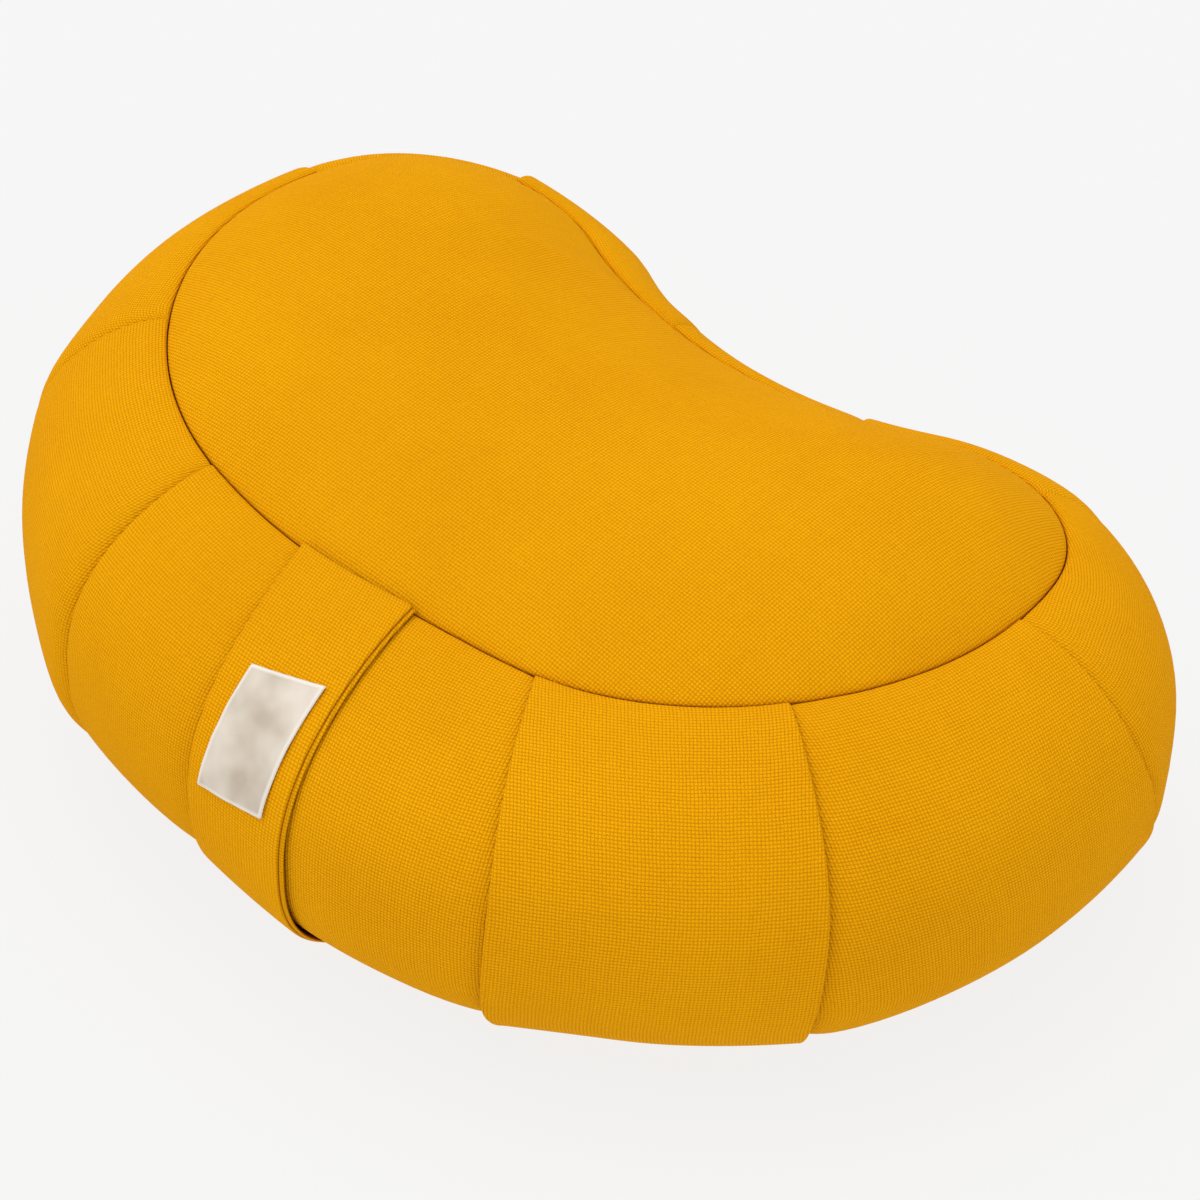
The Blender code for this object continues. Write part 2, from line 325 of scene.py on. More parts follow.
def cloth_grid(points: np.ndarray, threads: np.ndarray, marks: dict[str, np.ndarray]) -> bmesh.types.BMesh:
    """Shapes a flat grid into a cloth surface.

    Args:
        points: the grid's points as (rows, columns, 3); it faces out where columns then rows turn left.
        threads: where each point lies on the flat cloth, as (rows, columns, 2), in metres.
        marks: named values for each point, such as how deep in a fold it lies, which weights the painted shade
            there.

    Returns:
        The grid as a bmesh with its cloth coordinates and marks.
    """
    rows, columns = points.shape[:2]
    shape = bmesh.new()
    flat = shape.loops.layers.uv.new(THREADS)
    bmesh.ops.create_grid(shape, x_segments=columns - 1, y_segments=rows - 1, size=0.5, calc_uvs=True)
    layers = {name: shape.verts.layers.float.new(name) for name in marks}
    shape.verts.ensure_lookup_table()
    places = [
        (round((vert.co.y + 0.5) * (rows - 1)), round((vert.co.x + 0.5) * (columns - 1)))
        for vert in shape.verts
    ]
    shape.verts.index_update()
    for face in shape.faces:
        for loop in face.loops:
            loop[flat].uv = threads[places[loop.vert.index]]
    for vert, place in zip(shape.verts, places):
        vert.co = points[place]
        for name, layer in layers.items():
            vert[layer] = float(marks[name][place])
    return shape


def weld_open_edges(shape: bmesh.types.BMesh, reach: float = 5e-5) -> None:
    """Joins the points of a shape's open edges that meet."""
    rim = {vert for edge in shape.edges if edge.is_boundary for vert in edge.verts}
    bmesh.ops.remove_doubles(shape, verts=list(rim), dist=reach)


def close_openings(shape: bmesh.types.BMesh) -> None:
    """Fills each opening of a shape with triangles."""
    rims = [edge for edge in shape.edges if edge.is_boundary]
    bmesh.ops.triangle_fill(shape, edges=rims, use_beauty=True, use_dissolve=False)


def finished_piece(name: str, shape: bmesh.types.BMesh, material: bpy.types.Material) -> bpy.types.Object:
    """Makes an object of a shape, rides it on the cushion's body and dresses it.

    Args:
        name: the piece's name.
        shape: its bmesh, which is freed.
        material: its finish.

    Returns:
        The object, smooth shaded, at the origin.
    """
    mesh = bpy.data.meshes.new(name)
    shape.to_mesh(mesh)
    shape.free()
    mesh.materials.append(material)
    mesh.shade_smooth()
    piece = bpy.data.objects.new(name, mesh)
    bpy.context.scene.collection.objects.link(piece)
    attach(piece, BODY)
    LOG.info("%s: %d faces", name, len(mesh.polygons))
    return piece


class Wiring:
    """Adds nodes to a tree and links their sockets."""

    def __init__(self, tree: bpy.types.NodeTree) -> None:
        """Keeps the tree that is wired."""
        self.tree = tree

    def add(self, kind: str, inputs: dict, **settings: object) -> bpy.types.Node:
        """Adds a node.

        Args:
            kind: the node's type without its ShaderNode prefix.
            inputs: for each socket's name or number, a value or an output to link.
            settings: the node's own settings.

        Returns:
            The node.
        """
        node = self.tree.nodes.new("ShaderNode" + kind)
        for setting, value in settings.items():
            setattr(node, setting, value)
        for socket, value in inputs.items():
            self.set(node.inputs[socket], value)
        return node

    def set(self, socket: bpy.types.NodeSocket, value: object) -> None:
        """Links an output to a socket, or sets its value."""
        if isinstance(value, bpy.types.NodeSocket):
            self.tree.links.new(value, socket)
        else:
            socket.default_value = value

    def maths(self, operation: str, *values: object) -> bpy.types.NodeSocket:
        """The result of a Math node on values or outputs."""
        node = self.add("Math", dict(enumerate(values)), operation=operation)
        return node.outputs[0]

    def blend(self, factor: object, low: object, high: object) -> bpy.types.NodeSocket:
        """A number between two others."""
        return self.add("Mix", {0: factor, 2: low, 3: high}, data_type="FLOAT").outputs[0]

    def colour(self, factor: object, low: object, high: object) -> bpy.types.NodeSocket:
        """A colour between two others."""
        return self.add("Mix", {0: factor, 6: low, 7: high}, data_type="RGBA").outputs[2]

    def noise(self, vector: object, scale: float, detail: float) -> bpy.types.NodeSocket:
        """A noise texture's value."""
        wanted = {"Vector": vector, "Scale": scale, "Detail": detail}
        return self.add("TexNoise", wanted).outputs["Fac"]


def new_group(name: str, inputs: dict[str, str], outputs: dict[str, str]) -> tuple[Wiring, dict, dict]:
    """Starts a shader node group.

    Args:
        name: the group's name.
        inputs: its input names with their socket types.
        outputs: its output names with their socket types.

    Returns:
        The group's wiring, its input values and its output sockets, by name.
    """
    tree = bpy.data.node_groups.new(name, "ShaderNodeTree")
    for label, kind in inputs.items():
        tree.interface.new_socket(label, in_out="INPUT", socket_type=kind)
    for label, kind in outputs.items():
        tree.interface.new_socket(label, in_out="OUTPUT", socket_type=kind)
    start = tree.nodes.new("NodeGroupInput")
    end = tree.nodes.new("NodeGroupOutput")
    return Wiring(tree), {n: start.outputs[n] for n in inputs}, {n: end.inputs[n] for n in outputs}


def plain_weave_group() -> bpy.types.NodeTree:
    """Builds a group that weaves threads over and under each other.

    Returns:
        The group. Its height is 1 at the top of a thread, and its tone differs from thread to thread.
    """
    wiring, given, made = new_group(
        "plain_weave",
        {"Threads": "NodeSocketVector", "Pitch": "NodeSocketFloat", "Wander": "NodeSocketFloat"},
        {"Height": "NodeSocketFloat", "Tone": "NodeSocketFloat"},
    )
    per_metre = wiring.maths("DIVIDE", 1.0, given["Pitch"])
    counted = wiring.add("VectorMath", {0: given["Threads"], "Scale": per_metre}, operation="SCALE")
    strayed = wiring.add("TexNoise", {"Vector": counted.outputs[0], "Scale": 0.09, "Detail": 2.0})
    centred = wiring.add("VectorMath", {0: strayed.outputs["Color"], 1: (0.5, 0.5, 0.5)}, operation="SUBTRACT")
    moved = wiring.add("VectorMath", {0: centred.outputs[0], "Scale": given["Wander"]}, operation="SCALE")
    woven = wiring.add("VectorMath", {0: counted.outputs[0], 1: moved.outputs[0]}, operation="ADD").outputs[0]
    parts = wiring.add("SeparateXYZ", {0: woven}).outputs
    waves = [wiring.maths("SINE", wiring.maths("MULTIPLY", parts[axis], math.pi)) for axis in (0, 1)]
    warp_top = wiring.maths("GREATER_THAN", wiring.maths("MULTIPLY", *waves), 0.0)
    across, along = (wiring.maths("ABSOLUTE", wave) for wave in waves)
    crests = []
    for profile, run in ((across, along), (along, across)):
        round_top = wiring.maths("POWER", profile, 0.6)
        crests.append(wiring.maths("MULTIPLY", round_top, wiring.blend(run, 0.55, 1.0)))
    tones = []
    for stretch in ((1.0, 0.045, 1.0), (0.045, 1.0, 1.0)):
        drawn = wiring.add("VectorMath", {0: woven, 1: stretch}, operation="MULTIPLY").outputs[0]
        tones.append(wiring.noise(drawn, 0.9, 3.0))
    wiring.set(made["Height"], wiring.blend(warp_top, crests[1], crests[0]))
    wiring.set(made["Tone"], wiring.blend(warp_top, tones[1], tones[0]))
    return wiring.tree


def mottle_group() -> bpy.types.NodeTree:
    """Builds a group of soft uneven tone and fine fuzz.

    Returns:
        The group, whose outputs are 0 to 1.
    """
    wiring, given, made = new_group(
        "cloth_mottle",
        {"Place": "NodeSocketVector", "Patches": "NodeSocketFloat", "Fuzz": "NodeSocketFloat"},
        {"Patch": "NodeSocketFloat", "Fuzz": "NodeSocketFloat"},
    )
    for scale, output, detail in ((given["Patches"], "Patch", 3.0), (given["Fuzz"], "Fuzz", 2.0)):
        value = wiring.add("TexNoise", {"Vector": given["Place"], "Scale": scale, "Detail": detail})
        spread = wiring.add("MapRange", {0: value.outputs["Fac"], 1: 0.3, 2: 0.7})
        wiring.set(made[output], spread.outputs[0])
    return wiring.tree


WEAVE_GROUP = plain_weave_group()
MOTTLE_GROUP = mottle_group()


def new_material(name: str) -> tuple[bpy.types.Material, Wiring, bpy.types.Node]:
    """Starts a material.

    Args:
        name: its name.

    Returns:
        The material, its wiring and its Principled shader.
    """
    material = bpy.data.materials.new(name)
    material.use_nodes = True
    return material, Wiring(material.node_tree), material.node_tree.nodes["Principled BSDF"]


@dataclass(frozen=True)
class CanvasFinish:
    """Matt plain-weave cotton canvas, with painted shade between its threads and in its folds, seam grooves and
    hidden undersides.
    """

    # lit and shade: the colour runs between them with each thread's random tone and with painted shade in the gaps
    # between threads.
    lit: tuple[float, float, float] = (0.93, 0.43, 0.003)
    shade: tuple[float, float, float] = (0.62, 0.20, 0.001)
    # deep: painted shade colour for fold turns, seam grooves and hidden undersides, laid on through the tuck mark.
    deep: tuple[float, float, float] = (0.16, 0.022, 0.0)
    pitch: float = 0.00125
    wander: float = 0.9
    relief: float = 0.00035
    roughness: float = 0.95
    sheen: float = 0.04

    def material(self, name: str) -> bpy.types.Material:
        """Makes the canvas, whose threads follow the piece's own cloth coordinates, with painted shade in the
        weave's gaps and where the tuck mark lies.

        Args:
            name: the material's name.

        Returns:
            The material.
        """
        material, wiring, shader = new_material(name)
        threads = wiring.add("UVMap", {}, uv_map=THREADS).outputs[0]
        place = wiring.add("TexCoord", {}).outputs["Object"]
        wanted = {"Threads": threads, "Pitch": self.pitch, "Wander": self.wander}
        weave = self.group(wiring, WEAVE_GROUP, wanted)
        mottle = self.group(wiring, MOTTLE_GROUP, {"Place": place, "Patches": 16.0, "Fuzz": 900.0})
        tuck = wiring.add("Attribute", {}, attribute_name=CREASE_SHADE_MARK).outputs["Fac"]
        height = weave.outputs["Height"]
        # Painted shade: low weave height, the gaps between threads, pulls the colour towards shade; thread tone,
        # patches and fuzz are random tone.
        tone = wiring.maths("MULTIPLY_ADD", weave.outputs["Tone"], 0.30, wiring.maths("MULTIPLY", height, 0.62))
        tone = wiring.maths("MULTIPLY_ADD", mottle.outputs["Patch"], 0.14, tone)
        tone = wiring.maths("MULTIPLY_ADD", mottle.outputs["Fuzz"], 0.10, tone)
        thread_tone_and_gap_shade = wiring.colour(tone, (*self.shade, 1.0), (*self.lit, 1.0))
        # Painted shade: the tuck mark darkens folds, seam grooves and hidden undersides towards deep.
        wiring.set(shader.inputs["Base Color"], wiring.colour(tuck, thread_tone_and_gap_shade, (*self.deep, 1.0)))
        wiring.set(shader.inputs["Roughness"], self.roughness)
        wiring.set(shader.inputs["Sheen Weight"], self.sheen)
        wiring.set(shader.inputs["Sheen Roughness"], 0.6)
        wiring.set(shader.inputs["Sheen Tint"], (1.0, 0.5, 0.02, 1.0))
        wiring.set(shader.inputs["Specular IOR Level"], 0.02)
        raised = wiring.maths("MULTIPLY_ADD", mottle.outputs["Fuzz"], 0.25, height)
        bump = wiring.add("Bump", {"Height": raised, "Distance": self.relief, "Strength": 1.0})
        wiring.set(shader.inputs["Normal"], bump.outputs[0])
        return material

    @staticmethod
    def group(wiring: Wiring, tree: bpy.types.NodeTree, inputs: dict) -> bpy.types.Node:
        """Adds a node group to a material."""
        node = wiring.tree.nodes.new("ShaderNodeGroup")
        node.node_tree = tree
        for socket, value in inputs.items():
            wiring.set(node.inputs[socket], value)
        return node


CANVAS = CanvasFinish()


@dataclass(frozen=True)
class Column:
    """One line of points down the band, which moves on and stands out where its pleat is open."""

    place: float
    slide: float
    lift: float
    swell: float
    bow: float
    toe: float
    # tuck: how deep in a fold the column lies, the weight of its painted shade.
    tuck: float
    panel: int


@dataclass
class SideBand:
    """The filled body with its band of canvas, set in knife pleats between the two seams."""

    seam: CrescentSeam
    roll: SeamRoll
    pleats: tuple[Pleat, ...] = (
        Pleat(0.0835, 0.0155, -0.0045, 0.0024, 0.0008, 0.0030, 0.0004, Side.AFTER),
        Pleat(0.1722, 0.0020, -0.0030, 0.0022, 0.0010, 0.0008, -0.0005, Side.BEFORE),
        Pleat(0.2700, 0.0000, 0.0170, 0.0024, 0.0022, 0.0045, -0.0002, Side.BEFORE),
        Pleat(0.3580, -0.0120, 0.0000, 0.0024, 0.0000, 0.0060, 0.0030, Side.BEFORE),
        Pleat(0.4380, -0.0020, 0.0000, 0.0020, -0.0005, -0.0005, -0.0005, Side.BEFORE),
        Pleat(0.5280, 0.0010, 0.0000, 0.0020, -0.0010, 0.0040, 0.0012, Side.BEFORE),
        Pleat(0.6360, -0.0030, 0.0000, 0.0020, 0.0050, 0.0000, 0.0000, Side.BEFORE),
        Pleat(0.7220, 0.0030, 0.0000, 0.0020, 0.0000, 0.0000, -0.0015, Side.AFTER),
        Pleat(0.8415, 0.0000, 0.0000, 0.0024, 0.0052, 0.0000, -0.0015, Side.AFTER),
        Pleat(0.9250, 0.0010, 0.0000, 0.0024, 0.0032, -0.0025, -0.0008, Side.AFTER),
        Pleat(0.9880, 0.0080, 0.0000, 0.0014, -0.0006, -0.0006, 0.0023, Side.AFTER),
    )
    press: float = 0.0026
    press_at: float = 0.002
    press_width: float = 0.020
    bulge: float = 0.0477
    bulge_right: float = 0.0086
    bulge_bay: float = -0.020
    bulge_power: float = 1.3
    height_power: float = 0.8
    base_height: float = 0.0055
    low_power: float = 1.45
    spread_power: float = 0.6
    toe_power: float = 6.0
    fold_radius: float = 0.0007
    fold_open: float = 0.0004
    underlap: float = 0.0035
    edge_reach: float = 0.034
    crease_width: float = 0.0035
    row_step: float = 0.0020
    column_step: float = 0.0042
    lump_height: float = 0.0009
    lump_scale: float = 17.0

    def surface(self, distance: np.ndarray, angle: np.ndarray) -> np.ndarray:
        """The smooth wall without its pleats.

        Args:
            distance: distances round the seam, in metres.
            angle: 90 degrees at the top seam to -90 at the base seam.

        Returns:
            Points, one for each pair.
        """
        point, outward = self.seam.at(distance)
        turn = np.radians(angle)
        bulge = self.bulge + self.bulge_right * outward[..., 0] + self.bulge_bay * outward[..., 1]
        bulge = bulge + self.seam.drawn_in(distance)
        out = bulge * np.abs(np.cos(turn)) ** self.bulge_power
        rise = np.sign(turn) * np.abs(np.sin(turn)) ** self.height_power
        top = self.seam.height_at(point)
        height = self.base_height + (top - self.base_height) * (1 + rise) / 2
        plan = point + out[..., None] * outward
        return np.concatenate((plan, height[..., None]), axis=-1)

    def outward(self, distance: np.ndarray, angle: np.ndarray) -> np.ndarray:
        """The smooth wall's outward directions, for the same arguments as its surface."""
        step = 0.4
        along = self.surface(distance + 0.001, angle) - self.surface(distance - 0.001, angle)
        upper = self.surface(distance, np.minimum(angle + step, 90.0))
        rise = upper - self.surface(distance, np.maximum(angle - step, -90.0))
        normal = np.cross(along, rise)
        return normal / np.linalg.norm(normal, axis=-1, keepdims=True)

    def openness(self, angle: np.ndarray) -> np.ndarray:
        """How far pleats open at an angle: shut at both seams, widest in the lower third."""
        return self.lowness(angle) ** self.spread_power

    def lowness(self, angle: np.ndarray) -> np.ndarray:
        """0 at both seams to 1 in the lower third."""
        down = (90.0 - angle) / 180.0
        return np.maximum(0.0, np.sin(np.pi * down**self.low_power))

    def pressed(self, distance: np.ndarray) -> np.ndarray:
        """How far the strap presses the wall in, at distances round the seam."""
        half = self.seam.half
        signed = np.mod(distance + half, self.seam.length) - half
        return self.press * np.exp(-(((signed - self.press_at) / self.press_width) ** 2))

    def edge_swell(self, pleat: Pleat, side: Side) -> float:
        """How far the panel on one side of a pleat stands out at its edge; the lower one is tucked in."""
        upper = pleat.before if pleat.on_top is Side.BEFORE else pleat.after
        return upper if pleat.on_top is side else upper - pleat.depth

    def panel_swell(self, start: Pleat, end: Pleat, from_start: float, from_end: float) -> float:
        """How far a panel swells out where its pleats are open, that far from its two pleats."""
        share = np.clip(from_start / (from_start + from_end), 0.0, 1.0)
        swell = 4 * share * (1 - share) * start.puff
        for edge, away, pleat, side in (
            (start.after, from_start, start, Side.AFTER), (end.before, from_end, end, Side.BEFORE),
        ):
            away = max(0.0, away)
            tuck = edge - self.edge_swell(pleat, side)
            swell += edge * max(0.0, 1 - away / self.edge_reach) ** 2 - tuck * math.exp(-away / self.crease_width)
        return float(swell)

    def panel_lift(self, start: Pleat, end: Pleat, from_start: float, from_end: float) -> float:
        """How far a panel stands out at any height, that far from its two pleats."""
        lift = 0.0
        for away, pleat, side in ((from_start, start, Side.AFTER), (from_end, end, Side.BEFORE)):
            away = max(0.0, away)
            if pleat.on_top is side:
                lift += self.fold_radius * max(0.0, 1 - away / self.edge_reach) ** 2
            else:
                lift -= 1.2 * self.fold_radius * math.exp(-away / self.crease_width)
        return lift

    def fold_columns(self, pleat: Pleat, at: float, panel: int) -> list[Column]:
        """The columns round a folded edge and under it, from the open cloth to the hidden turn.

        Args:
            pleat: the pleat.
            at: its distance round the seam, in metres.
            panel: the number of the panel that is on top.

        Returns:
            The columns, going away from the panel that is on top and then back under it.
        """
        side = 1.0 if pleat.on_top is Side.BEFORE else -1.0
        swell = self.edge_swell(pleat, pleat.on_top)
        columns = []
        for degrees in (75, 45, 15, -15, -45, -75):
            turn = math.radians(degrees)
            back = side * (math.cos(turn) - 1)
            down = math.sin(turn) - 1
            # Painted shade: the tuck value darkens the fold's underside as it turns under, fully where hidden.
            columns.append(Column(
                at + back * self.fold_radius, back * self.fold_open,
                self.fold_radius + down * self.fold_radius, swell + down * self.fold_open,
                pleat.bow, pleat.toe, max(0.0, -math.sin(turn)), panel,
            ))
        columns.append(Column(
            at - side * self.underlap, 0.0, -self.fold_radius, swell - 2 * self.fold_open,
            pleat.bow, pleat.toe, 1.0, panel,
        ))
        return columns

    def panel_columns(self, start: Pleat, end: Pleat, begin: float, finish: float, panel: int) -> list[Column]:
        """The columns of one panel, from the pleat before it to the pleat after it.

        Args:
            start: the pleat before the panel.
            end: the pleat after it.
            begin: the first pleat's distance round the seam, in metres.
            finish: the second pleat's distance, in metres.
            panel: the panel's number.

        Returns:
            The columns in order round the seam.
        """
        def column(place: float, tuck: float) -> Column:
            """A column of the open panel."""
            gaps = (place - begin, finish - place)
            share = min(max(gaps[0] / (finish - begin), 0.0), 1.0)
            return Column(
                place, 0.0, self.panel_lift(start, end, *gaps), self.panel_swell(start, end, *gaps),
                start.bow + (end.bow - start.bow) * share, start.toe + (end.toe - start.toe) * share, tuck, panel,
            )

        columns = []
        # Columns hidden under a neighbouring panel's fold get full painted shade (tuck 1.0).
        if start.on_top is Side.AFTER:
            columns += reversed(self.fold_columns(start, begin, panel))
        else:
            columns += [column(begin - back, 1.0) for back in (self.underlap + 0.0002, 0.5 * self.underlap)]
        near = (0.0002, 0.0010, 0.0020, 0.0032, 0.0047, 0.0066, 0.0090, 0.0120)
        middle = max(2, round((finish - begin - 2 * near[-1]) / self.column_step))
        inner = np.linspace(begin + near[-1], finish - near[-1], middle + 1)[1:-1]
        places = [begin + step for step in near] + list(inner) + [finish - step for step in reversed(near)]
        for place in places:
            beside_start = start.on_top is Side.AFTER and place - begin < 1.5 * self.fold_radius
            beside_end = end.on_top is Side.BEFORE and finish - place < 1.5 * self.fold_radius
            if not beside_start and not beside_end:
                columns.append(column(float(place), 0.0))
        if end.on_top is Side.BEFORE:
            columns += self.fold_columns(end, finish, panel)
        else:
            columns += [column(finish + past, 1.0) for past in (0.5 * self.underlap, self.underlap + 0.0002)]
        return columns

    def columns(self) -> list[Column]:
        """All the columns round the band, the first one repeated at the end."""
        columns = []
        for panel, (start, end) in enumerate(zip(self.pleats, self.pleats[1:] + self.pleats[:1])):
            begin = start.share * self.seam.length
            finish = end.share * self.seam.length
            if finish < begin:
                finish += self.seam.length
            columns += self.panel_columns(start, end, begin, finish, panel)
        first = columns[0]
        return [*columns, replace(first, place=first.place + self.seam.length, panel=columns[-1].panel)]

    def rows(self) -> tuple[np.ndarray, np.ndarray]:
        """The rows up the wall, from the base seam to the top seam.

        Returns:
            Their angles in degrees, and their distances from the nearer seam in metres.
        """
        away = self.roll.away
        near = np.degrees((away / self.bulge) ** (1 / self.bulge_power))
        free = 90.0 - near[-1]
        girth = 0.185
        count = round(girth / self.row_step)
        inner = np.linspace(-free, free, count + 1)[1:-1]
        angles = np.concatenate((-90.0 + near, inner, (90.0 - near)[::-1]))
        inner_away = np.minimum(free - np.abs(inner), 60.0) * 0.0011 + away[-1]
        return angles, np.concatenate((away, inner_away, away[::-1]))

    def grid(self) -> tuple[np.ndarray, np.ndarray, np.ndarray, list[Column]]:
        """Works out the pleated wall.

        Returns:
            Its points, how deep in a fold or seam groove each lies (the weight of its painted shade), the distances
            round the seam, and its columns.
        """
        columns = self.columns()
        angles, away = self.rows()
        table = {name: np.array([getattr(c, name) for c in columns]) for name in Column.__annotations__}
        angle = np.repeat(angles[:, None], len(columns), axis=1)
        away = np.repeat(away[:, None], len(columns), axis=1)
        opened = self.openness(angle)
        distance = table["place"] + (table["slide"] + table["bow"]) * opened
        distance = distance + table["toe"] * self.lowness(angle) ** self.toe_power
        lift = table["lift"] + (table["swell"] - self.pressed(distance)) * opened
        smooth = self.surface(distance, angle)
        normal = self.outward(distance, angle)
        free = 1 - np.exp(-away / 0.02)
        lift = lift + self.lump_height * free * lumps(smooth, self.lump_scale, 3.0)
        lift = lift - self.roll.sunk(away, distance, 1.0)
        points = smooth + lift[..., None] * normal
        # Painted shade: cloth sunk deep into a seam groove is darkened, as are the fold columns.
        sunk = np.clip((self.roll.sunk(away, distance, 1.0) - 0.0016) / 0.0012, 0.0, 1.0)
        return points, np.maximum(sunk, table["tuck"]), distance, columns

    def thread_places(self, points: np.ndarray, columns: list[Column]) -> np.ndarray:
        """Lays the cloth flat, panel by panel.

        Args:
            points: the wall's points.
            columns: its columns.

        Returns:
            For each point its place along and across the strip, in metres.
        """
        steps = np.linalg.norm(np.diff(points, axis=1), axis=-1)
        along = np.concatenate((np.zeros((len(points), 1)), np.cumsum(steps, axis=1)), axis=1)
        climbs = np.linalg.norm(np.diff(points, axis=0), axis=-1)
        across = np.concatenate((np.zeros((1, points.shape[1])), np.cumsum(climbs, axis=0)), axis=0)
        across -= across[len(points) // 2]
        panels = np.array([column.panel for column in columns])
        for panel in range(len(self.pleats)):
            members = np.flatnonzero(panels == panel)
            middle = members[len(members) // 2]
            along[:, members] -= along[:, middle:middle + 1] - 0.31 * panel
        return np.stack((along, across), axis=-1)

    def build(self) -> bpy.types.Object:
        """Builds the filled body with its pleated band, closed under both panels.

        Returns:
            The piece.
        """
        points, tuck, distance, columns = self.grid()
        threads = self.thread_places(points, columns)
        crown = CrownPanel(self.seam, self.roll)
        base = BasePanel(self.seam, self)
        under_top = crown.under_rows(distance[-1])
        over_base = base.over_rows(distance[0])[::-1]
        points = np.concatenate((over_base, points, under_top))
        edges = (len(over_base), len(under_top))
        threads = np.pad(threads, (edges, (0, 0), (0, 0)), mode="edge")
        # The rows hidden under both panels get full painted shade.
        tuck = np.pad(tuck, (edges, (0, 0)), constant_values=1.0)
        shape = cloth_grid(points, threads, {CREASE_SHADE_MARK: tuck})
        weld_open_edges(shape)
        close_openings(shape)
        bmesh.ops.recalc_face_normals(shape, faces=shape.faces)
        piece = finished_piece("filled_band", shape, CANVAS.material("band_canvas_woven"))
        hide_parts("side_band")
        return piece


@dataclass
class CrownPanel:
    """The crowned top panel, one sheet of canvas drawn down into the seam all round."""

    seam: CrescentSeam
    roll: SeamRoll
    crown: float = 0.0312
    crown_power: float = 2.0
    cloth: float = 0.0012
    clear: float = 0.0006
    ring_count: int = 34
    pair_count: int = 78
    tip_count: int = 60
    lump_height: float = 0.0012
    lump_scale: float = 13.0
    thread_turn: float = 0.0

    def place(self, plan: np.ndarray, inward: np.ndarray) -> np.ndarray:
        """Points on the panel.

        Args:
            plan: points of the seam in plan.
            inward: 0 at the seam to 1 on the spine.

        Returns:
            The points.
        """
        middle = self.seam.spine_under(plan)
        share = inward[..., None]
        spot = plan * (1 - share) + middle * share
        height = self.seam.height_at(spot) + self.crown * (1 - (1 - inward) ** self.crown_power)
        return np.concatenate((spot, height[..., None]), axis=-1)

    def grid(self, distance: np.ndarray) -> tuple[np.ndarray, np.ndarray]:
        """Works out the panel's face over a ring of places round the seam.

        Args:
            distance: the places round the seam, in metres, the first one repeated at the end.

        Returns:
            The points and how far each lies from the seam across the cloth.
        """
        plan = self.seam.at(distance)[0]
        reach = np.linalg.norm(plan - self.seam.spine_under(plan), axis=-1)
        near = self.roll.away[:, None] / reach
        far = np.linspace(0.0, 1.0, self.ring_count + 1)[1:, None]
        inner = near[-1] + (1.0 - near[-1]) * far
        inward = np.concatenate((near, inner))
        plans = np.repeat(plan[None], len(inward), axis=0)
        points = self.place(plans, inward)
        away = inward * reach
        around = np.repeat(distance[None], len(inward), axis=0)
        free = 1 - np.exp(-away / 0.03)
        points[..., 2] += self.lump_height * free * lumps(points, self.lump_scale, 7.0)
        points[..., 2] -= self.roll.sunk(away, around, 5.0)
        return points, away

    def under_rows(self, distance: np.ndarray) -> np.ndarray:
        """Rows of the filled body that lie close under this panel, from the seam inwards."""
        plan = self.seam.at(distance)[0]
        inward = np.array((0.02, 0.05, 0.12, 0.25, 0.4, 0.55, 0.7, 0.85, 0.96))[:, None]
        inward = np.repeat(inward, len(distance), axis=1)
        points = self.place(np.repeat(plan[None], len(inward), axis=0), inward)
        rim = np.exp(-inward / 0.05)
        points[..., 2] -= self.cloth + self.clear + self.lump_height + 0.0024 * rim
        return points

    def thread_places(self, points: np.ndarray) -> np.ndarray:
        """Lays the panel flat, so that its threads keep their spacing on the slopes.

        Args:
            points: the panel's points, from the seam inwards.

        Returns:
            For each point its place on the flat cloth, in metres.
        """
        plan = points[..., :2]
        steps = np.linalg.norm(np.diff(points, axis=0), axis=-1)
        from_spine = np.zeros(points.shape[:2])
        from_spine[:-1] = np.cumsum(steps[::-1], axis=0)[::-1]
        direction = plan[0] - plan[-1]
        direction /= np.linalg.norm(direction, axis=-1, keepdims=True)
        turned = plan[-1] + from_spine[..., None] * direction
        turn = math.radians(self.thread_turn)
        return turned @ np.array(((math.cos(turn), math.sin(turn)), (-math.sin(turn), math.cos(turn))))

    def build(self) -> bpy.types.Object:
        """Builds the panel.

        Returns:
            The piece.
        """
        points, away = self.grid(self.seam.facing_pairs(self.pair_count, self.tip_count))
        # Painted shade: the panel's edge rolled into the seam groove is darkened.
        sunk = np.interp(away, (0.0001, 0.0004), (1.0, 0.0))
        shape = cloth_grid(points, self.thread_places(points), {CREASE_SHADE_MARK: sunk})
        weld_open_edges(shape)
        bmesh.ops.recalc_face_normals(shape, faces=shape.faces)
        bmesh.ops.solidify(shape, geom=shape.faces[:], thickness=self.cloth)
        piece = finished_piece("crown_panel", shape, CANVAS.material("crown_canvas_woven"))
        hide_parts("top_panel")
        return piece


